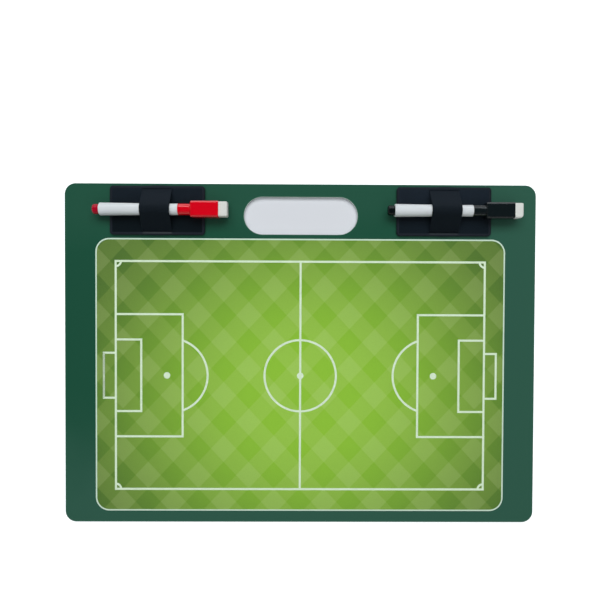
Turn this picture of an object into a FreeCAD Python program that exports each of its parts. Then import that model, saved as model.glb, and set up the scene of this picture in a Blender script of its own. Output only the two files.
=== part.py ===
import FreeCAD, Part
import math
import os

# Tactics board lying on its back: X runs along the board, Y towards the carrying hole,
# Z out of the pitch face. The origin is the middle of the back face. All sizes are millimetres.

# Board: a white foam core between two green cover sheets, all cut to one outline
board_length = 430.0
board_height = 310.0
board_corner_radius = 10.0
back_cover_thickness = 0.6
core_thickness = 2.2
front_cover_thickness = 0.6

# Carrying hole, a slot with round ends
hole_length = 104.0
hole_height = 34.3
hole_top_margin = 11.6

# Pitch panel: a white sheet whose bare rim shows round the print
panel_side_margin = 28.0
panel_bottom_margin = 10.5
panel_top_gap = 3.0
panel_corner_radius = 12.4
panel_thickness = 0.6
panel_rim = 1.3
print_thickness = 0.15
marking_thickness = 0.1
film_thickness = 0.15

# Pitch markings, measured to the middle of each line
line_width = 1.9
field_end_margin = 18.5
field_top_margin = 20.9
field_bottom_margin = 20.1
centre_circle_radius = 32.7
spot_radius = 3.0
penalty_area_depth = 61.0
penalty_area_width = 112.0
penalty_spot_depth = 46.7
penalty_arc_radius = 34.0
penalty_arc_centre_depth = 49.8
goal_area_depth = 23.2
goal_area_width = 65.6
goal_depth = 10.9
goal_width = 41.2
corner_arc_radius = 4.75

# Pen holders: adhesive tape, a backing and a patch with a pressed rim
holder_length = 86.0
holder_height = 44.2
holder_corner_radius = 3.0
holder_top_margin = 2.5
holder_side_margin = 41.8
tape_thickness = 0.3
tape_inset = 2.0
backing_floor = 0.4
patch_thickness = 1.0
patch_rim_width = 2.2
patch_rim_thickness = 0.5

# Elastic loops: flat webbing through two slots in the patch, its ends folded in behind it
loop_width = 27.0
loop_thickness = 0.8
loop_tab = 8.0
loop_clearance = 0.3
slot_edge_margin = 2.8
slot_clearance = 0.1
slot_lip = 0.15

# Markers, measured along their length from the tail
red_tail_reach = 56.2
black_tail_reach = 52.4
marker_rest_gap = 0.15
plug_length = 6.2
plug_radius = 4.5
plug_round = 2.0
plug_spigot = 5.0
barrel_length = 49.1
barrel_tail_radius = 5.75
barrel_front_radius = 5.15
barrel_front_wall = 0.95
barrel_edge_round = 0.8
section_length = 21.1
section_radius = 5.15
section_spigot = 8.0
sleeve_length = 8.0
sleeve_radius = 4.2
nose_length = 5.7
nose_root_radius = 3.2
nose_tip_radius = 2.6
nib_radius = 1.8
nib_reach = 5.0
nib_point_length = 3.0
nib_point_radius = 0.9
nib_point_round = 0.6
press_clearance = 0.02
ink_clearance = 0.25
cap_clearance = 0.05
nib_room = 3.0
neck_length = 11.3
neck_edge_round = 0.3
block_length = 25.2
block_width = 14.3
block_thickness = 12.0
block_chamfer = 1.4
block_end_chamfer = 0.8
eraser_reach = 7.9
eraser_seat = 4.0
eraser_width = 13.3
eraser_thickness = 10.5
eraser_round = 2.0
eraser_end_round = 1.4
eraser_clearance = 0.05

# Levels and places that follow from the sizes above
V = FreeCAD.Vector
AXIS_X = V(1, 0, 0)
AXIS_Y = V(0, 1, 0)
AXIS_Z = V(0, 0, 1)
core_bottom = back_cover_thickness
front_cover_bottom = core_bottom + core_thickness
board_top = front_cover_bottom + front_cover_thickness
board_top_edge = board_height / 2
hole_centre_y = board_top_edge - hole_top_margin - hole_height / 2
holder_centre_x = board_length / 2 - holder_side_margin - holder_length / 2
holder_centre_y = board_top_edge - holder_top_margin - holder_height / 2
top_band = max(hole_top_margin + hole_height, holder_top_margin + holder_height)
panel_half_length = board_length / 2 - panel_side_margin
panel_top = board_top_edge - top_band - panel_top_gap
panel_bottom = panel_bottom_margin - board_height / 2
print_bottom = board_top + panel_thickness
marking_bottom = print_bottom + print_thickness
film_bottom = marking_bottom + marking_thickness
goal_line_x = panel_half_length - field_end_margin
touch_line_high = panel_top - field_top_margin
touch_line_low = panel_bottom + field_bottom_margin
field_centre_y = (touch_line_high + touch_line_low) / 2
backing_bottom = board_top + tape_thickness
pocket_bottom = backing_bottom + backing_floor
patch_bottom = pocket_bottom + loop_thickness + slot_clearance
patch_top = patch_bottom + patch_thickness
slot_inner_face = holder_height / 2 - slot_edge_margin - loop_thickness
marker_axis_z = patch_top + marker_rest_gap + max(barrel_tail_radius, block_thickness / 2)
bore_radius = barrel_front_radius - barrel_front_wall
barrel_end = plug_length + barrel_length
section_end = barrel_end + section_length
sleeve_end = section_end + sleeve_length
nose_end = sleeve_end + nose_length
nib_tip = nose_end + nib_reach
ink_end = barrel_end - section_spigot
neck_end = section_end + neck_length
block_end = neck_end + block_length


def rounded_rectangle(centre, axis_a, axis_b, length_a, length_b, radius):
    """A flat face with round corners, spanned by two axes."""
    arcs = []
    for side_a, side_b in ((1, 1), (-1, 1), (-1, -1), (1, -1)):
        along_a = axis_a * (side_a * (length_a / 2 - radius))
        along_b = axis_b * (side_b * (length_b / 2 - radius))
        corner = centre + along_a + along_b
        out_a = axis_a * (side_a * radius)
        out_b = axis_b * (side_b * radius)
        middle = (out_a + out_b) * math.sqrt(0.5)
        first, last = (out_a, out_b) if side_a == side_b else (out_b, out_a)
        arcs.append(Part.Arc(corner + first, corner + middle, corner + last).toShape())
    outline = []
    for arc, following in zip(arcs, arcs[1:] + arcs[:1]):
        outline.append(arc)
        outline.append(Part.makeLine(arc.Vertexes[1].Point, following.Vertexes[0].Point))
    return Part.Face(Part.Wire(outline))


def plate(centre_x, centre_y, length, height, radius, bottom, thickness):
    """A flat sheet with round corners, lying level."""
    outline = rounded_rectangle(V(centre_x, centre_y, bottom), AXIS_X, AXIS_Y, length, height, radius)
    return outline.extrude(AXIS_Z * thickness)


def block(low_x, low_y, bottom, high_x, high_y, top):
    """A box between two corners."""
    return Part.makeBox(high_x - low_x, high_y - low_y, top - bottom, V(low_x, low_y, bottom))


def rod(radius, start, end):
    """A round bar along X."""
    return Part.makeCylinder(radius, end - start, V(start, 0, 0), AXIS_X)


def tail_face(shape):
    """The face nearest to the tail end."""
    return min(shape.Faces, key=lambda face: face.CenterOfMass.x)


def cap_face(shape):
    """The face nearest to the cap end."""
    return max(shape.Faces, key=lambda face: face.CenterOfMass.x)


# Board sheets
def board_sheet(bottom, thickness):
    """The board's outline with the carrying hole cut through it."""
    sheet = plate(0, 0, board_length, board_height, board_corner_radius, bottom, thickness)
    end_radius = hole_height / 2
    straight = hole_length / 2 - end_radius
    top = bottom + thickness
    hole = block(-straight, hole_centre_y - end_radius, bottom, straight, hole_centre_y + end_radius, top)
    for side in (-1, 1):
        end = Part.makeCylinder(end_radius, thickness, V(side * straight, hole_centre_y, bottom), AXIS_Z)
        hole = hole.fuse(end)
    return sheet.cut(hole.removeSplitter())


# Pitch panel, print and markings
def panel_sheet(inset, bottom, thickness):
    """The panel's outline, taken in by an inset all round."""
    centre_y = (panel_top + panel_bottom) / 2
    length = 2 * (panel_half_length - inset)
    height = panel_top - panel_bottom - 2 * inset
    return plate(0, centre_y, length, height, panel_corner_radius - inset, bottom, thickness)


def ink_box(low_x, low_y, high_x, high_y):
    """A filled rectangle of line ink."""
    return block(low_x, low_y, marking_bottom, high_x, high_y, film_bottom)


def ink_frame(low_x, low_y, high_x, high_y):
    """A rectangle drawn in line ink, given by the middle of its lines."""
    half = line_width / 2
    outside = ink_box(low_x - half, low_y - half, high_x + half, high_y + half)
    return outside.cut(ink_box(low_x + half, low_y + half, high_x - half, high_y - half))


def ink_disc(centre_x, centre_y, radius):
    """A filled round of line ink."""
    return Part.makeCylinder(radius, marking_thickness, V(centre_x, centre_y, marking_bottom), AXIS_Z)


def ink_ring(centre_x, centre_y, radius):
    """A circle drawn in line ink, given by the middle of its line."""
    half = line_width / 2
    return ink_disc(centre_x, centre_y, radius + half).cut(ink_disc(centre_x, centre_y, radius - half))


def end_markings(side):
    """Penalty area, goal area, goal, arc, spot and corner arcs at one end."""
    goal_x = side * goal_line_x
    strokes = []
    for depth, width in (
        (penalty_area_depth, penalty_area_width),
        (goal_area_depth, goal_area_width),
        (-goal_depth, goal_width),
    ):
        inner_x = goal_x - side * depth
        low_y = field_centre_y - width / 2
        strokes.append(ink_frame(min(goal_x, inner_x), low_y, max(goal_x, inner_x), low_y + width))
    area_x = goal_x - side * penalty_area_depth
    arc = ink_ring(goal_x - side * penalty_arc_centre_depth, field_centre_y, penalty_arc_radius)
    beyond_x = area_x - side * 2 * penalty_arc_radius
    reach = 2 * penalty_arc_radius
    beyond = ink_box(
        min(area_x, beyond_x), field_centre_y - reach, max(area_x, beyond_x), field_centre_y + reach
    )
    strokes.append(arc.common(beyond))
    for touch_y in (touch_line_low, touch_line_high):
        corner = ink_ring(goal_x, touch_y, corner_arc_radius)
        inside = ink_box(-goal_line_x, touch_line_low, goal_line_x, touch_line_high)
        strokes.append(corner.common(inside))
    strokes.append(ink_disc(goal_x - side * penalty_spot_depth, field_centre_y, spot_radius))
    return strokes


def pitch_markings():
    """All the white lines of the pitch, joined where they meet."""
    half = line_width / 2
    field = ink_frame(-goal_line_x, touch_line_low, goal_line_x, touch_line_high)
    strokes = [
        ink_box(-half, touch_line_low, half, touch_line_high),
        ink_ring(0, field_centre_y, centre_circle_radius),
        ink_disc(0, field_centre_y, spot_radius),
    ]
    for side in (-1, 1):
        strokes += end_markings(side)
    return field.multiFuse(strokes).removeSplitter()


# Pen holders
def holder_sheet(side, inset, bottom, thickness):
    """The holder's outline, taken in by an inset all round."""
    length = holder_length - 2 * inset
    height = holder_height - 2 * inset
    radius = holder_corner_radius - min(inset, holder_corner_radius / 2)
    return plate(side * holder_centre_x, holder_centre_y, length, height, radius, bottom, thickness)


def webbing_room(side, edge, near, far, bottom, top):
    """The space that the webbing needs at one edge of the holder, between two distances from its middle."""
    half_width = loop_width / 2 + slot_clearance
    centre_x = side * holder_centre_x
    first_y = holder_centre_y + edge * near
    second_y = holder_centre_y + edge * far
    low_y = min(first_y, second_y)
    high_y = max(first_y, second_y)
    return block(centre_x - half_width, low_y, bottom, centre_x + half_width, high_y, top)


def holder_backing(side):
    """The backing, with a shallow pocket for each folded end of the webbing."""
    backing = holder_sheet(side, 0, backing_bottom, patch_bottom - backing_bottom)
    near = slot_inner_face - loop_tab - slot_clearance
    far = slot_inner_face + loop_thickness + slot_clearance
    for edge in (-1, 1):
        backing = backing.cut(webbing_room(side, edge, near, far, pocket_bottom, patch_bottom))
    return backing


def holder_patch(side):
    """The front patch: a raised field inside a pressed rim, with a slot at the top and the bottom."""
    rim = holder_sheet(side, 0, patch_bottom, patch_rim_thickness)
    field = holder_sheet(side, patch_rim_width, patch_bottom, patch_thickness)
    patch = rim.fuse(field).removeSplitter()
    near = slot_inner_face - slot_clearance
    far = slot_inner_face + loop_thickness + slot_clearance
    for edge in (-1, 1):
        patch = patch.cut(webbing_room(side, edge, near, far, patch_bottom, patch_top))
    return patch


def elastic_loop(side):
    """Webbing stretched from slot to slot over the marker like a tent, with its ends folded in."""
    inner_radius = barrel_tail_radius + loop_clearance
    outer_radius = inner_radius + loop_thickness
    bend_z = patch_top + slot_lip
    rise = marker_axis_z - bend_z
    outer_face = slot_inner_face + loop_thickness
    tab_end = slot_inner_face - loop_tab
    tab_top = pocket_bottom + loop_thickness
    start_x = side * holder_centre_x - loop_width / 2
    slant = math.atan2(rise, slot_inner_face)
    slant += math.asin(inner_radius / math.hypot(rise, slot_inner_face))
    mitre = loop_thickness * (1 - math.sin(slant)) / math.cos(slant)

    def point(across, z):
        return V(start_x, holder_centre_y + across, z)

    def tangent(radius, edge):
        return point(edge * radius * math.sin(slant), marker_axis_z + radius * math.cos(slant))

    def descent(edge):
        return [
            tangent(inner_radius, edge),
            point(edge * slot_inner_face, bend_z),
            point(edge * slot_inner_face, tab_top),
            point(edge * tab_end, tab_top),
            point(edge * tab_end, pocket_bottom),
            point(edge * outer_face, pocket_bottom),
            point(edge * outer_face, bend_z + mitre),
            tangent(outer_radius, edge),
        ]

    def crown(radius):
        top = point(0, marker_axis_z + radius)
        return Part.Arc(tangent(radius, -1), top, tangent(radius, 1)).toShape()

    outline = Part.makePolygon(descent(1)).Edges + Part.makePolygon(descent(-1)).Edges
    outline += [crown(inner_radius), crown(outer_radius)]
    profile = Part.Face(Part.Wire(Part.__sortEdges__(outline)))
    return profile.extrude(AXIS_X * loop_width)


# Markers
def marker_barrel():
    """The white tube, open at both ends and slightly narrower towards the cap."""
    start = V(plug_length, 0, 0)
    tube = Part.makeCone(barrel_tail_radius, barrel_front_radius, barrel_length, start, AXIS_X)
    tube = tube.makeFillet(barrel_edge_round, tail_face(tube).Edges)
    return tube.cut(rod(bore_radius, plug_length, barrel_end))


def tail_plug():
    """The rounded stopper pressed into the tail of the barrel."""
    head = rod(plug_radius, 0, plug_length)
    head = head.makeFillet(plug_round, tail_face(head).Edges)
    spigot = rod(bore_radius - press_clearance, plug_length, plug_length + plug_spigot)
    return head.fuse(spigot).removeSplitter()


def ink_reservoir():
    """The fibre rod that holds the ink, between the plug and the front section."""
    return rod(bore_radius - ink_clearance, plug_length + plug_spigot, ink_end)


def front_section():
    """The piece in front of the barrel: spigot, shoulder, sleeve for the cap and nose for the nib."""
    section = rod(section_radius, barrel_end, section_end)
    nose = Part.makeCone(nose_root_radius, nose_tip_radius, nose_length, V(sleeve_end, 0, 0), AXIS_X)
    section = section.multiFuse([
        rod(bore_radius - press_clearance, ink_end, barrel_end),
        rod(sleeve_radius, section_end, sleeve_end),
        nose,
    ])
    return section.removeSplitter().cut(rod(nib_radius + press_clearance, ink_end, nose_end))


def nib():
    """The felt rod from the ink to the rounded writing point."""
    point_start = nib_tip - nib_point_length
    shaft = rod(nib_radius, ink_end, point_start)
    point = Part.makeCone(nib_radius, nib_point_radius, nib_point_length, V(point_start, 0, 0), AXIS_X)
    felt = shaft.fuse(point).removeSplitter()
    return felt.makeFillet(nib_point_round, cap_face(felt).Edges)


def eraser_bar(start, end, clearance):
    """The eraser's bar along X, or with a clearance the socket that takes it."""
    width = eraser_width + 2 * clearance
    thickness = eraser_thickness + 2 * clearance
    outline = rounded_rectangle(V(start, 0, 0), AXIS_Y, AXIS_Z, width, thickness, eraser_round + clearance)
    return outline.extrude(AXIS_X * (end - start))


def cap_block():
    """The flat block of the cap, with its long edges and its neck end cut off at an angle."""
    half_width = block_width / 2
    half_thickness = block_thickness / 2
    corners = []
    for side_y, side_z in ((1, 1), (-1, 1), (-1, -1), (1, -1)):
        on_side = V(neck_end, side_y * half_width, side_z * (half_thickness - block_chamfer))
        on_face = V(neck_end, side_y * (half_width - block_chamfer), side_z * half_thickness)
        corners += [on_side, on_face] if side_y == side_z else [on_face, on_side]
    outline = Part.Face(Part.makePolygon(corners + corners[:1]))
    solid = outline.extrude(AXIS_X * block_length)
    return solid.makeChamfer(block_end_chamfer, tail_face(solid).Edges)


def marker_cap():
    """The cap: a round neck over the sleeve, and a flat block with a socket for the eraser."""
    neck = rod(section_radius, section_end, neck_end + block_end_chamfer)
    neck = neck.makeFillet(neck_edge_round, tail_face(neck).Edges)
    cap = neck.fuse(cap_block()).removeSplitter()
    cap = cap.cut(rod(sleeve_radius + cap_clearance, section_end, nib_tip + nib_room))
    return cap.cut(eraser_bar(block_end - eraser_seat, block_end, eraser_clearance))


def eraser():
    """The felt block glued into the end of the cap."""
    felt = eraser_bar(block_end - eraser_seat, block_end + eraser_reach, 0)
    return felt.makeFillet(eraser_end_round, cap_face(felt).Edges)


# Assembly: one solid or group of solids for each named piece
pieces = {
    "back_cover": board_sheet(0, back_cover_thickness),
    "board_core": board_sheet(core_bottom, core_thickness),
    "front_cover": board_sheet(front_cover_bottom, front_cover_thickness),
    "pitch_panel": panel_sheet(0, board_top, panel_thickness),
    "pitch_print": panel_sheet(panel_rim, print_bottom, print_thickness),
    "pitch_markings": pitch_markings(),
    "dry_erase_film": panel_sheet(panel_rim, film_bottom, film_thickness),
}

for holder, side in (("left_holder", -1), ("right_holder", 1)):
    pieces[holder + "_tape"] = holder_sheet(side, tape_inset, board_top, tape_thickness)
    pieces[holder + "_backing"] = holder_backing(side)
    pieces[holder + "_patch"] = holder_patch(side)
    pieces[holder + "_elastic_loop"] = elastic_loop(side)

for marker, side, tail_reach in (
    ("red_marker", -1, red_tail_reach),
    ("black_marker", 1, black_tail_reach),
):
    place = V(side * holder_centre_x - tail_reach, holder_centre_y, marker_axis_z)
    for piece, shape in (
        ("barrel", marker_barrel()),
        ("tail_plug", tail_plug()),
        ("ink_reservoir", ink_reservoir()),
        ("front_section", front_section()),
        ("nib", nib()),
        ("cap", marker_cap()),
        ("eraser", eraser()),
    ):
        pieces[marker + "_" + piece] = shape.translated(place)

os.makedirs("parts", exist_ok=True)
for name, shape in pieces.items():
    shape.exportStep("parts/" + name + ".step")
    print(name, len(shape.Solids), round(shape.Volume, 2), shape.isValid())
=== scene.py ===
"""Looks of a football tactics board with two markers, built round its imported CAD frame.

Lengths are in metres, in the CAD model's frame: X along the board, Y towards the carrying hole, Z up.
"""

import math

import bmesh
import bpy
from mathutils import Color, Matrix, Vector


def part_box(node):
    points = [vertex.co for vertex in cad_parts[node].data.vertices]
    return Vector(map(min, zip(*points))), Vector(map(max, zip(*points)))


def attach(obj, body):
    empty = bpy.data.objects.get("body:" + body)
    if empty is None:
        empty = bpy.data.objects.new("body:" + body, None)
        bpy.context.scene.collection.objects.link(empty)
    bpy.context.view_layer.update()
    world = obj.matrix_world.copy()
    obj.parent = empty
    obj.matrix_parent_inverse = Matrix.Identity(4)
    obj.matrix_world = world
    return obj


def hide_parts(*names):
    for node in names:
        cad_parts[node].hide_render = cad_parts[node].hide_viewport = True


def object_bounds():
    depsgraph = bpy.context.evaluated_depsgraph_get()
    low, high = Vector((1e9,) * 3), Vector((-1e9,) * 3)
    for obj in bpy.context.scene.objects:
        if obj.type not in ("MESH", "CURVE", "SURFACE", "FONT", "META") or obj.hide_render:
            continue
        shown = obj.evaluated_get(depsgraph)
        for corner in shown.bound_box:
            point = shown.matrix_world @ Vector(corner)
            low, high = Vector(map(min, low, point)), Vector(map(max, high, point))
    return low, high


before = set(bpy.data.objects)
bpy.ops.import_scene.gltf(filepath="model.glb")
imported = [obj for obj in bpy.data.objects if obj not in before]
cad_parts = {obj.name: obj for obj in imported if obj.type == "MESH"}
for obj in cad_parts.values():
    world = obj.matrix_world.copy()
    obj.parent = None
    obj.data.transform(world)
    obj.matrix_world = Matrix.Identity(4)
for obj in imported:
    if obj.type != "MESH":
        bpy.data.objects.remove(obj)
cad_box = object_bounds()

# Cover sheets: two skins of green polypropylene, glued to the core and die cut with it.
# The sheet has a fine matt emboss and faint clouding. Its cut edges are paler, because
# the blade stressed the plastic there. Its green is also painted paler towards the right,
# the bottom and a little towards the top, as painted light for the uneven light on the board.
MM = 0.001
BOARD_CORNER = 10 * MM
HOLE_LENGTH = 104 * MM
HOLE_HEIGHT = 34.3 * MM
HOLE_TOP_MARGIN = 11.6 * MM
COVER_EDGE = 0.5 * MM
COVER_GRAIN = 0.8 * MM
COVER_GRAIN_DEPTH = 0.015 * MM
COVER_CLOUD = 70 * MM
COVER_PAINTED_LIGHT_X = (40 * MM, 190 * MM)
COVER_PAINTED_LIGHT_Y = (30 * MM, 140 * MM)
COVER_PAINTED_LIGHT_TOP = (90 * MM, 140 * MM)
COVER_TOP_LIGHT_SHARE = 0.3
COVER_CUT_PALENESS = (0.3, 0.8)
COVER_ROUGHNESS = (0.36, 0.52)
COVER_SHINE = 0.25


def shade(red, green, blue):
    """A colour as it looks on a screen, in steps of 255, for a shader's colour socket."""
    return (*Color((red / 255, green / 255, blue / 255)).from_srgb_to_scene_linear(), 1.0)


class Field:
    """A value that varies over a surface, held by a shader socket. Arithmetic adds Math nodes."""

    def __init__(self, finish, socket):
        self.finish = finish
        self.socket = socket

    def maths(self, operation, *values):
        return self.finish.node("Math", {"operation": operation}, dict(enumerate(values)))

    def __add__(self, other):
        return self.maths("ADD", self, other)

    def __sub__(self, other):
        return self.maths("SUBTRACT", self, other)

    def __rsub__(self, other):
        return self.maths("SUBTRACT", other, self)

    def __mul__(self, other):
        return self.maths("MULTIPLY", self, other)

    def __truediv__(self, other):
        return self.maths("DIVIDE", self, other)

    def __abs__(self):
        return self.maths("ABSOLUTE", self)

    __radd__ = __add__
    __rmul__ = __mul__

    def at_least(self, other):
        return self.maths("MAXIMUM", self, other)

    def at_most(self, other):
        return self.maths("MINIMUM", self, other)

    def between(self, low, high):
        """The field stretched, so that 0 becomes low and 1 becomes high."""
        return low + (high - low) * self

    def cosine(self):
        return self.maths("COSINE", self)

    def root(self):
        return self.maths("SQRT", self)


class Finish:
    """One set of shader nodes, of a material or a world, added as they are asked for."""

    # Places of the sockets that a Mix node uses for colours
    MIX_SHARE = 0
    MIX_FIRST = 6
    MIX_SECOND = 7
    MIX_RESULT = 2

    def __init__(self, name, kept_in=bpy.data.materials):
        self.owner = kept_in.new(name)
        self.owner.use_nodes = True
        self.tree = self.owner.node_tree
        self.tree.nodes.clear()

    def node(self, kind, settings=None, sockets=None, output=0):
        """Adds a node, sets it up, fills or links its sockets and gives one of its outputs."""
        made = self.tree.nodes.new("ShaderNode" + kind)
        for name, value in (settings or {}).items():
            setattr(made, name, value)
        for key, value in (sockets or {}).items():
            if isinstance(value, Field):
                self.tree.links.new(value.socket, made.inputs[key])
            else:
                made.inputs[key].default_value = value
        return Field(self, made.outputs[output]) if made.outputs else None

    def place(self, stretch=(1, 1, 1)):
        """The point of the piece being shaded, in metres, with each axis stretched."""
        point = self.node("TexCoord", output="Object")
        return self.node("Mapping", sockets={"Vector": point, "Scale": stretch})

    def axes(self, vector):
        """The X, Y and Z of a vector."""
        split = self.node("SeparateXYZ", sockets={"Vector": vector})
        return [Field(self, socket) for socket in split.socket.node.outputs]

    def noise(self, point, size, detail=2.0):
        """Soft random mottling from 0 to 1, with blotches of about a size."""
        sockets = {"Vector": point, "Scale": 1 / size, "Detail": detail}
        return self.node("TexNoise", sockets=sockets)

    def rise(self, value, low, high):
        """A smooth step from 0 at low to 1 at high."""
        sockets = {"Value": value, "From Min": low, "From Max": high}
        return self.node("MapRange", {"interpolation_type": "SMOOTHSTEP"}, sockets)

    def mix(self, share, first, second):
        """A colour between two others."""
        sockets = {self.MIX_SHARE: share, self.MIX_FIRST: first, self.MIX_SECOND: second}
        return self.node("Mix", {"data_type": "RGBA"}, sockets, self.MIX_RESULT)

    def bump(self, height, depth, rounding=0.0):
        """A normal for relief whose height runs from 0 to 1 over a real depth, on rounded edges."""
        sockets = {"Height": height, "Distance": depth}
        if rounding:
            sockets["Normal"] = self.node("Bevel", sockets={"Radius": rounding})
        return self.node("Bump", sockets=sockets)

    def surface(self, sockets):
        """Ends the material in one Principled surface and gives the material."""
        shader = self.node("BsdfPrincipled", sockets=sockets)
        self.node("OutputMaterial", sockets={"Surface": shader})
        return self.owner


def paint(material, *names):
    """Puts a material on CAD nodes."""
    for name in names:
        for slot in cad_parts[name].material_slots:
            slot.material = material


def depth_inside(x, y, half_length, half_height, radius):
    """How far a point lies inside a round-cornered outline about the origin."""
    past_x = abs(x) - (half_length - radius)
    past_y = abs(y) - (half_height - radius)
    corner_x = past_x.at_least(0.0)
    corner_y = past_y.at_least(0.0)
    corner = (corner_x * corner_x + corner_y * corner_y).root()
    return radius - corner - past_x.at_least(past_y).at_most(0.0)


def cover_finish():
    """Green polypropylene with a matt emboss, paler cut edges and painted light that pales it to the
    right, bottom and top.
    """
    cover = Finish("green_cover")
    point = cover.place()
    x, y, _ = cover.axes(point)
    board_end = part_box("front_cover")[1]
    outline = depth_inside(x, y, board_end.x, board_end.y, BOARD_CORNER)
    hole_radius = HOLE_HEIGHT / 2
    hole_y = board_end.y - HOLE_TOP_MARGIN - hole_radius
    past_end = (abs(x) - (HOLE_LENGTH / 2 - hole_radius)).at_least(0.0)
    above = y - hole_y
    hole = (past_end * past_end + above * above).root() - hole_radius
    edge = 1 - cover.rise(outline.at_most(hole), 0.0, COVER_EDGE)
    cloud = cover.noise(point, COVER_CLOUD)
    grain = cover.noise(point, COVER_GRAIN, detail=3.0)
    drift = cloud.between(-COVER_CLOUD / 2, COVER_CLOUD / 2)
    # Painted light: the green is painted paler towards the right, the bottom and the top.
    rightwards = cover.rise(drift + x, *COVER_PAINTED_LIGHT_X)
    downwards = cover.rise(drift - y, *COVER_PAINTED_LIGHT_Y)
    upwards = cover.rise(drift + y, *COVER_PAINTED_LIGHT_TOP)
    paleness_with_painted_light = rightwards.at_least(downwards).at_least(COVER_TOP_LIGHT_SHARE * upwards)
    green = cover.mix(paleness_with_painted_light, shade(23, 78, 58), shade(44, 89, 73))
    return cover.surface({
        "Base Color": cover.mix(edge * grain.between(*COVER_CUT_PALENESS), green, shade(120, 160, 142)),
        "Roughness": grain.between(*COVER_ROUGHNESS),
        "Specular IOR Level": COVER_SHINE,
        "Normal": cover.bump(grain, COVER_GRAIN_DEPTH),
    })


paint(cover_finish(), "front_cover", "back_cover")

# Core: one sheet of white closed-cell foamed plastic, between the two covers.
# It shows only as the cut edge round the board and inside the carrying hole,
# where the blade has opened some of its cells. The opened cells are painted darker
# than their walls, as painted shade in the pores.
CORE_CELL = 0.45 * MM
CORE_CELL_DEPTH = 0.06 * MM
CORE_CELL_WALL = (0.1, 0.6)
CORE_ROUGHNESS = (0.75, 0.6)


def core_finish():
    """White foam with open cells, painted darker inside them as painted shade."""
    core = Finish("white_core")
    point = core.place()
    cell = core.node("TexVoronoi", sockets={"Vector": point, "Scale": 1 / CORE_CELL})
    # Painted shade: the opened cells are darker than their walls.
    wall = core.rise(cell, *CORE_CELL_WALL)
    return core.surface({
        "Base Color": core.mix(wall, shade(212, 214, 212), shade(236, 238, 236)),
        "Roughness": wall.between(*CORE_ROUGHNESS),
        "Normal": core.bump(wall, CORE_CELL_DEPTH),
    })


paint(core_finish(), "board_core")

# Pitch panel: a thin sheet of white vinyl glued to the front cover.
# The print stops short of its edge, so that its bare rim frames the pitch as a white line.
VINYL_MOTTLE = 6 * MM
VINYL_ROUGHNESS = (0.3, 0.4)


def vinyl_finish():
    """Smooth white vinyl with a slight mottle."""
    vinyl = Finish("white_panel")
    mottle = vinyl.noise(vinyl.place(), VINYL_MOTTLE)
    return vinyl.surface({
        "Base Color": vinyl.mix(mottle, shade(198, 224, 205), shade(208, 231, 214)),
        "Roughness": mottle.between(*VINYL_ROUGHNESS),
    })


paint(vinyl_finish(), "pitch_panel")

# Grass print: green inks on the panel. Two sets of slanting bands cross to make a check
# of pale and deep diamonds, and the green is brightest round the middle of the pitch.
# That fade is printed, but its bright centre is set low and to the right as painted light,
# for light that is stronger towards the board's lower right.
# The ink is slightly uneven.
TURN = 2 * math.pi
CHECK_LENGTH = 46 * MM
CHECK_HEIGHT = 49 * MM
CHECK_X = -1.0 * MM
CHECK_Y = -13.6 * MM
CHECK_BLUR = 0.07
GLOW_X = 6 * MM
GLOW_Y = -40 * MM
GLOW_START = 33 * MM
GLOW_END = 253 * MM
GLOW_FLATNESS = 1.13
GRASS_MIDDLE = (shade(153, 201, 77), shade(161, 205, 92), shade(144, 198, 60))
GRASS_EDGE = (shade(97, 127, 60), shade(115, 141, 77), shade(79, 112, 52))
INK_MOTTLE = 1.5 * MM
INK_UNEVENNESS = 0.06
INK_ROUGHNESS = (0.45, 0.55)
INK_SHINE = 0.1


def grass_finish():
    """The printed diamonds, from bright in the middle to dull in the corners, with painted light in where
    the bright middle sits.
    """
    grass = Finish("grass_print")
    point = grass.place()
    x, y, _ = grass.axes(point)
    along = (x - CHECK_X) * (TURN / CHECK_LENGTH)
    across = (y - CHECK_Y) * (TURN / CHECK_HEIGHT)
    rising = grass.rise((along + across).cosine(), -CHECK_BLUR, CHECK_BLUR)
    falling = grass.rise((along - across).cosine(), -CHECK_BLUR, CHECK_BLUR)
    pale = rising * falling
    deep = (1 - rising) * (1 - falling)
    # Partly painted light: the printed fade's centre is set low and to the right.
    from_x = x - GLOW_X
    from_y = (y - GLOW_Y) * GLOW_FLATNESS
    vignette_and_painted_light = grass.rise((from_x * from_x + from_y * from_y).root(), GLOW_START, GLOW_END)
    tones = []
    for plain_ink, pale_ink, deep_ink in (GRASS_MIDDLE, GRASS_EDGE):
        tones.append(grass.mix(deep, grass.mix(pale, plain_ink, pale_ink), deep_ink))
    mottle = grass.noise(point, INK_MOTTLE, detail=3.0)
    green = grass.mix(vignette_and_painted_light, *tones)
    return grass.surface({
        "Base Color": grass.mix(INK_UNEVENNESS * mottle, green, shade(40, 62, 16)),
        "Roughness": mottle.between(*INK_ROUGHNESS),
        "Specular IOR Level": INK_SHINE,
    })


paint(grass_finish(), "pitch_print")

# Markings: white line ink printed over the grass, a little raised.
# The green below tints it faintly where the ink is thin.
LINE_MOTTLE = 2.5 * MM
LINE_ROUGHNESS = (0.4, 0.5)


def line_finish():
    """White ink, thinner in places."""
    line = Finish("line_ink")
    mottle = line.noise(line.place(), LINE_MOTTLE, detail=3.0)
    return line.surface({
        "Base Color": line.mix(mottle, shade(207, 232, 199), shade(223, 241, 217)),
        "Roughness": mottle.between(*LINE_ROUGHNESS),
        "Specular IOR Level": INK_SHINE,
    })


paint(line_finish(), "pitch_markings")

# Dry-erase film: a clear glossy skin laminated over the print, which marker ink wipes off.
# Wiping has left faint hazy streaks along the board.
FILM_INDEX = 1.45
FILM_SKIN = 0.05 * MM
FILM_ROUGHNESS = (0.06, 0.14)
STREAK = 4 * MM
STREAK_STRETCH = (0.05, 1, 1)


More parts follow.
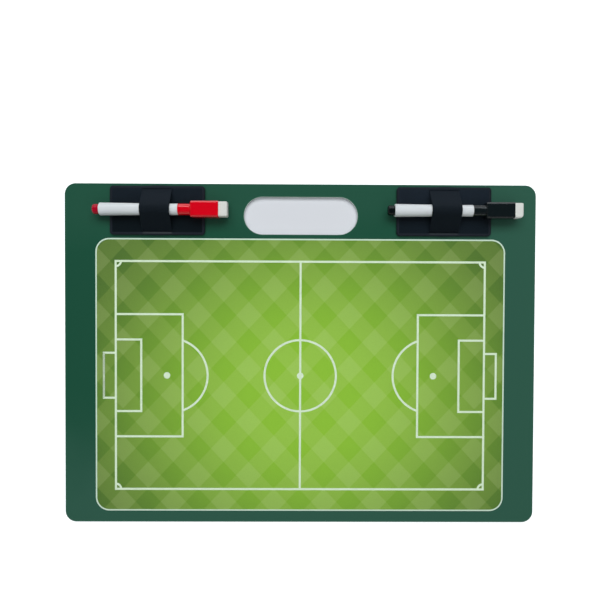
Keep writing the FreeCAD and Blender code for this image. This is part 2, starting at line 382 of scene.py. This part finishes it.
def film_finish():
    """Clear gloss: its outer face reflects as glass does, and the print shows through it."""
    film = Finish("clear_film")
    streak = film.noise(film.place(STREAK_STRETCH), STREAK, detail=3.0)
    _, _, z = film.axes(film.place())
    face_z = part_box("dry_erase_film")[1].z
    outer = film.rise(z, face_z - FILM_SKIN, face_z) * (1 - film.node("NewGeometry", output="Backfacing"))
    return film.surface({
        "Base Color": shade(255, 255, 255),
        "Metallic": 1.0,
        "Roughness": streak.between(*FILM_ROUGHNESS),
        "Alpha": outer * film.node("Fresnel", sockets={"IOR": FILM_INDEX}),
    })


paint(film_finish(), "dry_erase_film")

# Holder tapes and backings: each pen holder is stuck down with a sheet of double-sided
# tape. Its backing is stiff black fibreboard, with pockets for the folded webbing ends.
SIDES = ("left", "right")
TAPE_MOTTLE = 1.2 * MM
TAPE_ROUGHNESS = (0.35, 0.55)
FIBRE_LENGTH = 2.0 * MM
FIBRE_STRETCH = (0.3, 1, 1)
FIBRE_ROUGHNESS = (0.7, 0.9)


def tape_finish():
    """Milky adhesive."""
    tape = Finish("adhesive_tape")
    mottle = tape.noise(tape.place(), TAPE_MOTTLE)
    return tape.surface({
        "Base Color": tape.mix(mottle, shade(196, 192, 176), shade(214, 211, 198)),
        "Roughness": mottle.between(*TAPE_ROUGHNESS),
    })


def fibreboard_finish():
    """Black pressed fibre."""
    board = Finish("holder_fibreboard")
    fibre = board.noise(board.place(FIBRE_STRETCH), FIBRE_LENGTH, detail=4.0)
    return board.surface({
        "Base Color": board.mix(fibre, shade(14, 16, 18), shade(30, 33, 36)),
        "Roughness": fibre.between(*FIBRE_ROUGHNESS),
    })


paint(tape_finish(), *(f"{side}_holder_tape" for side in SIDES))
paint(fibreboard_finish(), *(f"{side}_holder_backing" for side in SIDES))

# Holder patches: near-black leatherette over each backing, with a welded and grooved rim
# and a slot for the webbing near the top and the bottom edge. The tight webbing bows the
# strip outside each slot a little, and presses the lip of the lower slot down. The rim and
# that lip are painted paler as painted highlights, the upper part of each patch is painted
# paler as painted light, and the creases of the grain are painted darker as painted shade.
PATCH_CORNER = 3.0 * MM
PATCH_CORNER_STEPS = 8
RIM_PROFILE = (
    (0.25 * MM, 0.3 * MM),
    (0.3 * MM, 0.12 * MM),
    (1.35 * MM, 0.0 * MM),
    (0.25 * MM, -0.1 * MM),
    (0.25 * MM, 0.18 * MM),
    (0.3 * MM, 0.28 * MM),
    (0.5 * MM, 0.1 * MM),
)
RIM_FOOT = 0.08 * MM
RIM_WIDTH = 2.1 * MM
RIM_BLEND = 0.3 * MM
PATCH_CELL = 2.0 * MM
SLOT_ROOM = 0.15 * MM
SLOT_HEIGHT = 1.1 * MM
SLOT_LIP = 1.6 * MM
SLOT_LIP_DROP = 0.4 * MM
SLOT_LIP_FADE = 1.5 * MM
STRIP_BOW = 0.4 * MM
CUT_MARGIN = 0.01 * MM
GRAIN = 0.9 * MM
GRAIN_DEPTH = 0.04 * MM
GRAIN_CREASE = (0.0, 0.25)
CREASE_PAINTED_SHADE = 0.3
LEATHER_MOTTLE = 8 * MM
LEATHER_TOP_LIGHT_RISE = (-8 * MM, 14 * MM)
LEATHER_TOP_LIGHT_SHARE = (0.35, 0.7)
LEATHER_RIGHT_PALENESS = 0.3
LEATHER_ROUGHNESS = (0.6, 0.5)
LEATHER_SHINE = 0.1
RIM_POLISH = 0.5
RIGHT_LIP_HIGHLIGHT_LOSS = 0.5
POLISH_SMOOTHNESS = 0.2
POLISH_FLATNESS = 0.7


def piece_from(shape, name):
    """A finished bmesh as a smooth-shaded object in the scene."""
    mesh = bpy.data.meshes.new(name)
    shape.to_mesh(mesh)
    shape.free()
    mesh.shade_smooth()
    piece = bpy.data.objects.new(name, mesh)
    bpy.context.scene.collection.objects.link(piece)
    return piece


def slot_sizes(side):
    """A slot's length, and the distances of its inner and outer edge from the patch's middle."""
    lowest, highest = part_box(f"{side}_holder_elastic_loop")
    outer = (highest.y - lowest.y) / 2 + SLOT_ROOM
    return highest.x - lowest.x + 2 * SLOT_ROOM, outer - SLOT_HEIGHT, outer


def patch_piece(side):
    """One patch as a sheet with its pressed rim, slots and bowed strips."""
    lowest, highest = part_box(f"{side}_holder_patch")
    size = highest - lowest
    slot_length, slot_inner, slot_outer = slot_sizes(side)
    sheet = bmesh.new()
    bmesh.ops.create_grid(sheet, x_segments=1, y_segments=1, size=0.5)
    bmesh.ops.scale(sheet, vec=(size.x, size.y, 1), verts=sheet.verts[:])
    bmesh.ops.bevel(
        sheet, geom=sheet.verts[:], offset=PATCH_CORNER, affect="VERTICES",
        segments=PATCH_CORNER_STEPS, profile=0.5, material=-1,
    )
    bmesh.ops.translate(sheet, vec=(0, 0, RIM_FOOT), verts=sheet.verts[:])
    field = sheet.faces[:]
    for width, lift in RIM_PROFILE:
        bmesh.ops.inset_region(sheet, faces=field, thickness=width, use_even_offset=True)
        bmesh.ops.translate(sheet, vec=(0, 0, lift), verts=field[0].verts[:])
    cuts = [(0, edge * slot_length / 2) for edge in (-1, 1)]
    for edge in (-1, 1):
        for distance in (slot_inner, slot_outer, slot_outer + SLOT_LIP / 2, slot_outer + SLOT_LIP):
            cuts.append((1, edge * distance))
    for axis in (0, 1):
        count = round(size[axis] / PATCH_CELL)
        cuts += [(axis, (step / count - 0.5) * size[axis]) for step in range(1, count)]
    for axis, at in cuts:
        normal = Vector((axis == 0, axis == 1, 0))
        geometry = sheet.verts[:] + sheet.edges[:] + sheet.faces[:]
        bmesh.ops.bisect_plane(sheet, geom=geometry, plane_co=normal * at, plane_no=normal)

    def in_slot(face):
        middle = face.calc_center_median()
        return abs(middle.x) < slot_length / 2 and slot_inner < abs(middle.y) < slot_outer

    strip = size.y / 2 - slot_outer
    slots = [face for face in sheet.faces if in_slot(face)]
    bmesh.ops.delete(sheet, geom=slots, context="FACES")
    for vert in sheet.verts:
        share = 2 * abs(vert.co.x) / slot_length
        past = abs(vert.co.y) - slot_outer
        if share < 1 and past > -CUT_MARGIN:
            slack = math.cos(share * math.pi / 2) ** 2 * max(0.0, past) / strip
            if vert.co.y < 0:
                vert.co.z -= max(0.0, 1 - past / SLOT_LIP) * SLOT_LIP_DROP
            vert.co.y += math.copysign(STRIP_BOW * slack, vert.co.y)
    grown = bmesh.ops.extrude_face_region(sheet, geom=sheet.faces[:], use_keep_orig=True)
    for vert in grown["geom"]:
        if isinstance(vert, bmesh.types.BMVert):
            vert.co.z = 0.0
    bmesh.ops.recalc_face_normals(sheet, faces=sheet.faces[:])
    middle = (lowest + highest) / 2
    bmesh.ops.translate(sheet, vec=(middle.x, middle.y, lowest.z), verts=sheet.verts[:])
    return piece_from(sheet, f"{side}_patch_leatherette")


def leatherette_finish():
    """Near-black grained vinyl leather with a low shine, and painted highlights, light and shade."""
    leather = Finish("holder_leatherette")
    point = leather.place()
    sockets = {"Vector": point, "Scale": 1 / GRAIN}
    crease = leather.node("TexVoronoi", {"feature": "DISTANCE_TO_EDGE"}, sockets)
    pebble = leather.rise(crease, *GRAIN_CREASE)
    mottle = leather.noise(point, LEATHER_MOTTLE)
    x, y, _ = leather.axes(point)
    lowest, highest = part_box("right_holder_patch")
    middle = (lowest + highest) / 2
    half = (highest - lowest) / 2
    out = abs(x) - middle.x
    up = y - middle.y
    depth = depth_inside(out, up, half.x, half.y, PATCH_CORNER)
    rim = 1 - leather.rise(depth, RIM_WIDTH, RIM_WIDTH + RIM_BLEND)
    slot_length, _, slot_outer = slot_sizes("right")
    past_lip = abs(up + slot_outer + SLOT_LIP / 2) - SLOT_LIP / 2
    before_end = slot_length / 2 - abs(out)
    lip = (1 - leather.rise(past_lip, 0.0, RIM_BLEND)) * leather.rise(before_end, 0.0, SLOT_LIP_FADE)
    polish = lip.at_least(RIM_POLISH * rim)
    # Painted light: the upper part of the patch is paler and the lower part darker in shade; the
    # right-hand patch is paler overall.
    painted_top_light = leather.rise(up, *LEATHER_TOP_LIGHT_RISE) * mottle.between(*LEATHER_TOP_LIGHT_SHARE)
    rightwards = leather.rise(x, -middle.x, middle.x)
    paleness_with_painted_light = painted_top_light + LEATHER_RIGHT_PALENESS * rightwards
    dye_with_painted_light = leather.mix(paleness_with_painted_light, shade(14, 23, 28), shade(30, 40, 51))
    # Painted highlight: the rim is painted paler.
    paled_with_painted_light = leather.mix(rim, dye_with_painted_light, shade(34, 40, 48))
    # Painted highlight: the lip of the lower slot is painted pale grey, less so on the right-hand patch.
    lip_painted_highlight_colour = leather.mix(lip * (1 - RIGHT_LIP_HIGHLIGHT_LOSS * rightwards), paled_with_painted_light, shade(54, 60, 64))
    # Painted shade: the creases of the grain are painted near-black.
    return leather.surface({
        "Base Color": leather.mix(CREASE_PAINTED_SHADE * (1 - pebble), lip_painted_highlight_colour, shade(3, 4, 6)),
        "Roughness": pebble.between(*LEATHER_ROUGHNESS) - POLISH_SMOOTHNESS * polish,
        "Specular IOR Level": LEATHER_SHINE,
        "Normal": leather.bump(pebble * (1 - POLISH_FLATNESS * polish), GRAIN_DEPTH),
    })


leatherette = leatherette_finish()
for side in SIDES:
    patch = patch_piece(side)
    patch.data.materials.append(leatherette)
    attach(patch, "board")
    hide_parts(f"{side}_holder_patch")

# Elastic loops: flat woven elastic, stretched from slot to slot over the marker.
# It stands off the patch like a tent, and its ends are folded in below the patch.
# Covered rubber cords run along it and fine picks cross them. The hollows between them are
# painted darker as painted shade, and the webbing is painted paler towards the top of the board
# as painted light, over a random fluff.
MARKERS = {"left": "red", "right": "black"}
WEBBING_THICKNESS = 0.8 * MM
WEBBING_TAB = 8 * MM
WEBBING_STRANDS = 14
TAB_STEPS = 3
SLOT_STEPS = 2
RUN_STEPS = 8
CROWN_STEPS = 16
WEBBING_SMOOTHING = 1
CORD_PITCH = 1.0 * MM
PICK_PITCH = 0.6 * MM
CORD_RELIEF = 0.35
PICK_RELIEF = 0.15
WEAVE_DEPTH = 0.1 * MM
WEBBING_FLUFF = 0.5 * MM
WEBBING_TOP_LIGHT_RISE = (-6 * MM, 12 * MM)
WEBBING_FLUFF_AND_LIGHT_SHARE = 0.3
WEBBING_ROUGHNESS = (0.75, 0.9)
WEBBING_SHINE = 0.15
WEBBING_SHEEN = 0.04
WEBBING_SHEEN_ROUGHNESS = 0.4


def loop_piece(side):
    """One loop, grown as a row of points from tab to tab and then given its thickness."""
    lowest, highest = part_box(f"{side}_holder_elastic_loop")
    marker_low, marker_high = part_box(f"{MARKERS[side]}_marker_barrel")
    axis = (marker_low + marker_high) / 2
    bend_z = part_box(f"{side}_holder_patch")[1].z
    half = WEBBING_THICKNESS / 2
    radius = highest.z - half - axis.z
    tab_z = lowest.z + half
    rise = axis.z - bend_z
    slots = {-1: lowest.y + half, 1: highest.y - half}
    leans = {}
    for edge, slot_y in slots.items():
        span = abs(slot_y - axis.y)
        leans[edge] = math.atan2(rise, span) + math.asin(radius / math.hypot(rise, span))
    webbing = bmesh.new()
    run = webbing.verts.layers.float.new("run")
    ends = [webbing.verts.new((x, slots[-1] + WEBBING_TAB, tab_z)) for x in (lowest.x, highest.x)]
    first = webbing.edges.new(ends)
    bmesh.ops.subdivide_edges(webbing, edges=[first], cuts=WEBBING_STRANDS - 1)
    row = webbing.edges[:]

    def grow(row, step, count):
        """Extrudes the row a number of times, moving it by the same step each time."""
        for _ in range(count):
            start = row[0].verts[0].co.copy()
            walked = row[0].verts[0][run]
            made = bmesh.ops.extrude_edge_only(webbing, edges=row)["geom"]
            points = [item for item in made if isinstance(item, bmesh.types.BMVert)]
            bmesh.ops.transform(webbing, matrix=step, verts=points)
            fresh = set(points)
            row = [e for e in made if isinstance(e, bmesh.types.BMEdge) and fresh.issuperset(e.verts)]
            for point in points:
                point[run] = walked + (step @ start - start).length
        return row

    def straight(row, y, z, count):
        """Carries the row straight on to a place."""
        here = row[0].verts[0].co
        step = Vector((0, y - here.y, z - here.z)) / count
        return grow(row, Matrix.Translation(step), count)

    row = straight(row, slots[-1], tab_z, TAB_STEPS)
    row = straight(row, slots[-1], bend_z, SLOT_STEPS)
    tangent_y = axis.y - radius * math.sin(leans[-1])
    row = straight(row, tangent_y, axis.z + radius * math.cos(leans[-1]), RUN_STEPS)
    hub = Matrix.Translation(axis)
    turn = Matrix.Rotation(-(leans[-1] + leans[1]) / CROWN_STEPS, 4, "X")
    row = grow(row, hub @ turn @ hub.inverted(), CROWN_STEPS)
    row = straight(row, slots[1], bend_z, RUN_STEPS)
    row = straight(row, slots[1], tab_z, SLOT_STEPS)
    straight(row, slots[1] - WEBBING_TAB, tab_z, TAB_STEPS)
    bmesh.ops.recalc_face_normals(webbing, faces=webbing.faces[:])
    loop = piece_from(webbing, f"{side}_elastic_webbing")
    wall = loop.modifiers.new("thickness", "SOLIDIFY")
    wall.thickness = WEBBING_THICKNESS
    wall.offset = 0
    soft = loop.modifiers.new("soft_edges", "SUBSURF")
    soft.levels = soft.render_levels = WEBBING_SMOOTHING
    return loop


def webbing_finish():
    """Black woven elastic, ribbed along its length, with painted shade in the weave and painted light
    towards the top.
    """
    webbing = Finish("elastic_webbing")
    point = webbing.place()
    x, y, _ = webbing.axes(point)
    lowest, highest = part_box("right_holder_elastic_loop")
    up = y - (lowest.y + highest.y) / 2
    run = webbing.node("Attribute", {"attribute_name": "run"}, output="Fac")
    cord = (x * (TURN / CORD_PITCH)).cosine()
    pick = (run * (TURN / PICK_PITCH)).cosine()
    weave = CORD_RELIEF * (1 + cord) + PICK_RELIEF * (1 + cord * pick)
    fluff = webbing.noise(point, WEBBING_FLUFF, detail=3.0)
    # Painted shade: the weave's hollows are darker than the tops of the cords.
    thread_shaded_in_hollows = webbing.mix(weave, shade(5, 10, 13), shade(15, 23, 29))
    # Painted light: paler towards the top of the board, mixed with random fluff.
    paled_with_painted_light = WEBBING_FLUFF_AND_LIGHT_SHARE * (fluff + webbing.rise(up, *WEBBING_TOP_LIGHT_RISE))
    return webbing.surface({
        "Base Color": webbing.mix(paled_with_painted_light, thread_shaded_in_hollows, shade(32, 41, 51)),
        "Roughness": fluff.between(*WEBBING_ROUGHNESS),
        "Specular IOR Level": WEBBING_SHINE,
        "Sheen Weight": WEBBING_SHEEN,
        "Sheen Roughness": WEBBING_SHEEN_ROUGHNESS,
        "Sheen Tint": shade(150, 185, 235),
        "Normal": webbing.bump(weave, WEAVE_DEPTH),
    })


elastic = webbing_finish()
for side in SIDES:
    loop = loop_piece(side)
    loop.data.materials.append(elastic)
    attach(loop, "board")
    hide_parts(f"{side}_holder_elastic_loop")

# Barrels and front sections: white polypropylene tubes, extruded and moulded.
# They are smooth and slightly waxy, with fine handling scuffs along them.
SCUFF = 1.2 * MM
SCUFF_STRETCH = (0.08, 1, 1)
WHITE_ROUGHNESS = (0.28, 0.43)
WHITE_SCATTER = 1.5 * MM
WHITE_SCATTER_SHARE = 0.5
COLOURS = ("red", "black")


def white_plastic_finish():
    """Waxy white polypropylene."""
    plastic = Finish("white_plastic")
    scuff = plastic.noise(plastic.place(SCUFF_STRETCH), SCUFF, detail=4.0)
    return plastic.surface({
        "Base Color": plastic.mix(scuff, shade(209, 216, 220), shade(217, 223, 226)),
        "Roughness": scuff.between(*WHITE_ROUGHNESS),
        "Subsurface Weight": WHITE_SCATTER_SHARE,
        "Subsurface Radius": (1.0, 1.0, 1.0),
        "Subsurface Scale": WHITE_SCATTER,
    })


white_plastic = white_plastic_finish()
for colour in COLOURS:
    paint(white_plastic, f"{colour}_marker_barrel", f"{colour}_marker_front_section")

# Tail plugs and caps: moulded plastic in the colour of the ink, satin on the plug and
# glossy on the cap. The plug is pressed into the barrel, and the cap is pushed over the
# front section. Moulding has left a faint ripple in the gloss. The plug is the cap's
# plastic painted darker, as painted shade.
RIPPLE = 3.0 * MM
RIPPLE_DEPTH = 0.02 * MM
MOULD_ROUND = 0.9 * MM
CAP_SHINE = {"red": 0.8, "black": 0.44}
CAP_ROUGHNESS = 0.05
PLUG_SHINE = 0.28
PLUG_ROUGHNESS = 0.12
SCUFF_ROUGHNESS = 0.06
CAP_INKS = {
    "red": (shade(218, 0, 26), shade(211, 0, 24)),
    "black": (shade(14, 22, 24), shade(18, 26, 29)),
}
# Painted shade: the plugs' inks are the caps' plastic made darker.
PLUG_SHADED_INKS = {
    "red": (shade(174, 3, 37), shade(166, 3, 34)),
    "black": (shade(6, 14, 15), shade(10, 18, 20)),
}


def moulded_finish(name, inks, shine, smoothest):
    """Coloured plastic that is at its smoothest between the scuffs."""
    plastic = Finish(name)
    point = plastic.place()
    ripple = plastic.noise(point, RIPPLE)
    scuff = plastic.noise(plastic.place(SCUFF_STRETCH), SCUFF, detail=4.0)
    return plastic.surface({
        "Base Color": plastic.mix(ripple, *inks),
        "Roughness": smoothest + SCUFF_ROUGHNESS * scuff,
        "Specular IOR Level": shine,
        "Normal": plastic.bump(ripple, RIPPLE_DEPTH, MOULD_ROUND),
    })


for colour in COLOURS:
    plug = moulded_finish(f"{colour}_plug_shaded_plastic", PLUG_SHADED_INKS[colour], PLUG_SHINE, PLUG_ROUGHNESS)
    paint(plug, f"{colour}_marker_tail_plug")
    cap = moulded_finish(f"{colour}_plastic", CAP_INKS[colour], CAP_SHINE[colour], CAP_ROUGHNESS)
    paint(cap, f"{colour}_marker_cap")

# Ink reservoirs and nibs: rods of bonded polyester fibre, soaked in ink.
# The fibres run along the rod. The nib is pressed into the nose of the front section.
STRAND = 0.25 * MM
STRAND_STRETCH = (0.04, 1, 1)
STRAND_DEPTH = 0.05 * MM
STRAND_ROUGHNESS = (0.6, 0.9)
INKS = {
    "red": (shade(150, 8, 24), shade(205, 30, 46)),
    "black": (shade(12, 13, 16), shade(34, 36, 40)),
}


def fibre_finish(colour):
    """Inky bonded fibre."""
    fibre = Finish(f"{colour}_ink_fibre")
    strand = fibre.noise(fibre.place(STRAND_STRETCH), STRAND, detail=3.0)
    return fibre.surface({
        "Base Color": fibre.mix(strand, *INKS[colour]),
        "Roughness": strand.between(*STRAND_ROUGHNESS),
        "Normal": fibre.bump(strand, STRAND_DEPTH),
    })


for colour in COLOURS:
    paint(fibre_finish(colour), f"{colour}_marker_ink_reservoir", f"{colour}_marker_nib")

# Erasers: a block of pressed off-white wool felt, glued into the end of each cap.
# Its corners are cut slightly round, and loose fibres make its faces uneven.
FELT_ROUND = 1.3 * MM
FELT_END_ROUNDS = {"red": (1.0 * MM, 1.0 * MM), "black": (2.8 * MM, 1.4 * MM)}
FELT_STEPS = 4
FELT_SHARP_EDGE = math.radians(60)
FELT_FINENESS = 3
FELT_LUMP = 1.6 * MM
FELT_LUMP_HEIGHT = 0.12 * MM
FELT_MOTTLE = 2.5 * MM
FELT_ROUGHNESS = (0.9, 0.98)
FELT_SHINE = 0.2
FELT_SHEEN = 0.2
WOOL = 0.3 * MM
WOOL_DEPTH = 0.12 * MM


def eraser_piece(colour):
    """One felt block with rounded edges and a slightly lumpy surface."""
    lowest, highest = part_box(f"{colour}_marker_eraser")
    middle = (lowest + highest) / 2
    felt = bmesh.new()
    bmesh.ops.create_cube(felt, size=1.0)
    bmesh.ops.scale(felt, vec=highest - lowest, verts=felt.verts[:])

    def upright(side):
        """The edge that stands at the free end, at one side."""
        return [
            edge for edge in felt.edges
            if all(vert.co.x > 0 and vert.co.y * side > 0 for vert in edge.verts)
        ]

    for side, radius in zip((-1, 1), FELT_END_ROUNDS[colour]):
        bmesh.ops.bevel(
            felt, geom=upright(side), offset=radius, affect="EDGES",
            segments=FELT_STEPS, profile=0.5, material=-1,
        )
    rims = [edge for edge in felt.edges if edge.calc_face_angle() > FELT_SHARP_EDGE]
    bmesh.ops.bevel(
        felt, geom=rims, offset=FELT_ROUND, affect="EDGES",
        segments=FELT_STEPS, profile=0.5, material=-1,
    )
    bmesh.ops.translate(felt, vec=middle, verts=felt.verts[:])
    piece = piece_from(felt, f"{colour}_eraser_felt")
    fine = piece.modifiers.new("fine", "SUBSURF")
    fine.subdivision_type = "SIMPLE"
    fine.levels = fine.render_levels = FELT_FINENESS
    lumps = bpy.data.textures.new(f"{colour}_felt_lumps", "CLOUDS")
    lumps.noise_scale = FELT_LUMP
    uneven = piece.modifiers.new("uneven", "DISPLACE")
    uneven.texture = lumps
    uneven.strength = FELT_LUMP_HEIGHT
    return piece


def felt_finish():
    """Off-white wool felt."""
    felt = Finish("eraser_felt")
    point = felt.place()
    wool = felt.noise(point, WOOL, detail=4.0)
    mottle = felt.noise(point, FELT_MOTTLE)
    return felt.surface({
        "Base Color": felt.mix((wool + mottle) / 2, shade(200, 204, 198), shade(225, 228, 225)),
        "Roughness": wool.between(*FELT_ROUGHNESS),
        "Specular IOR Level": FELT_SHINE,
        "Sheen Weight": FELT_SHEEN,
        "Normal": felt.bump(wool, WOOL_DEPTH),
    })


wool_felt = felt_finish()
for colour in COLOURS:
    eraser = eraser_piece(colour)
    eraser.data.materials.append(wool_felt)
    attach(eraser, f"{colour}_cap")
    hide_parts(f"{colour}_marker_eraser")

# Studio: the board lies on a wide pale floor that reads as white round it.
# The floor keeps its own pale grey behind the board, where the carrying hole shows it,
# and lets a view from below through.
FLOOR_HALF = 4.0
FLOOR_DROP = 0.2 * MM
FLOOR_PALE = shade(213, 217, 223)
FLOOR_LIFT = 0.66
FLOOR_FAR = (0.4, 1.2)
SHADE_HALF_LENGTH = 200 * MM
SHADE_HALF_HEIGHT = 149 * MM
SHADE_EDGE = (1.0, 1.02)


def light_path(finish, *kinds):
    """1 for the kinds of ray that are named and 0 for others."""
    seen = finish.node("LightPath", output=kinds[0])
    for kind in kinds[1:]:
        seen = seen.at_least(finish.node("LightPath", output=kind))
    return seen


def floor_finish():
    """A pale floor with a lift to white that the camera, gloss and clear pieces see."""
    floor = Finish("studio_floor")
    x, y, _ = floor.axes(floor.place())
    outside = (abs(x) / SHADE_HALF_LENGTH).at_least(abs(y) / SHADE_HALF_HEIGHT)
    shown = floor.rise(outside, *SHADE_EDGE)
    seen = light_path(floor, "Is Camera Ray", "Is Glossy Ray", "Is Transmission Ray")
    far = floor.rise((x * x + y * y).root(), *FLOOR_FAR)
    lift = (FLOOR_LIFT + (1 - FLOOR_LIFT) * far) * shown * seen
    glow = floor.node("Emission", sockets={"Color": floor.mix(lift, shade(0, 0, 0), shade(255, 255, 255))})
    matt = floor.node("BsdfDiffuse", sockets={"Color": FLOOR_PALE})
    both = floor.node("AddShader", sockets={0: matt, 1: glow})
    below = floor.node("NewGeometry", output="Backfacing")
    clear = floor.node("BsdfTransparent")
    surface = floor.node("MixShader", sockets={0: below, 1: both, 2: clear})
    floor.node("OutputMaterial", sockets={"Surface": surface})
    return floor.owner


ground = bmesh.new()
bmesh.ops.create_grid(ground, x_segments=1, y_segments=1, size=FLOOR_HALF)
bmesh.ops.translate(ground, vec=(0, 0, cad_box[0].z - FLOOR_DROP), verts=ground.verts[:])
floor = piece_from(ground, "studio_floor")
floor.data.materials.append(floor_finish())

# Light: a wide key lamp beyond the top of the board and a broad soft panel over the rest.
# The camera sees white all round. Glossy pieces see white low down and a bright strip
# beyond the top of the board, in a dim room that is darkest overhead.
ROOM_LIGHT = 0.14
DARK_ROOM = 0.02
DARK_OVERHEAD = (0.6, 0.85)
BACKDROP_TOP = (0.05, 0.2)
STRIP_TINT = (0.86, 0.95, 1.0)

room = Finish("studio_room", bpy.data.worlds)
_, _, up = room.axes(room.node("TexCoord", output="Generated"))
dim = ROOM_LIGHT - (ROOM_LIGHT - DARK_ROOM) * room.rise(up, *DARK_OVERHEAD)
seen = light_path(room, "Is Camera Ray", "Is Transmission Ray")
mirrored = light_path(room, "Is Glossy Ray") * (1 - room.rise(up, *BACKDROP_TOP))
level = seen.at_least(mirrored).at_least(dim)
white = room.mix(level, shade(0, 0, 0), shade(255, 255, 255))
backdrop = room.node("Background", sockets={"Color": white})
room.node("OutputWorld", sockets={"Surface": backdrop})
bpy.context.scene.world = room.owner


def softbox(name, tilt, distance, length, height, power):
    """A soft lamp over the board, out of the picture, leaning towards the board's top by a tilt."""
    light = bpy.data.lights.new(name, "AREA")
    light.shape = "RECTANGLE"
    light.size = length
    light.size_y = height
    light.energy = power
    lamp = bpy.data.objects.new(name, light)
    towards_lamp = Vector((0, math.sin(tilt), math.cos(tilt)))
    lamp.location = towards_lamp * distance
    lamp.rotation_euler = (-towards_lamp).to_track_quat("-Z", "Y").to_euler()
    lamp.visible_camera = False
    bpy.context.scene.collection.objects.link(lamp)
    return lamp


key = softbox("key_strip", tilt=math.radians(34), distance=2.2, length=2.4, height=1.1, power=39.0)
panel = softbox("fill_panel", tilt=math.radians(-22), distance=1.8, length=3.0, height=3.0, power=21.0)
shine = softbox("shine_strip", tilt=math.radians(58), distance=1.5, length=1.4, height=0.3, power=6.0)
key.visible_glossy = panel.visible_glossy = False
shine.visible_diffuse = False
shine.data.color = STRIP_TINT

# Camera: nearly straight above the board, turned a little, as in the photograph.
CAMERA_PLACE = Vector((-3.73, 58.35, 518.4)) * MM
CAMERA_TURN = (-0.991, -0.365, 0.229)
CAMERA_LENS = 33.767

eye = bpy.data.objects.new("camera", bpy.data.cameras.new("camera"))
eye.data.lens = CAMERA_LENS
eye.location = CAMERA_PLACE
eye.rotation_mode = "ZYX"
eye.rotation_euler = [math.radians(angle) for angle in CAMERA_TURN]
bpy.context.scene.collection.objects.link(eye)
bpy.context.scene.camera = eye
bpy.context.scene.view_settings.view_transform = "Standard"
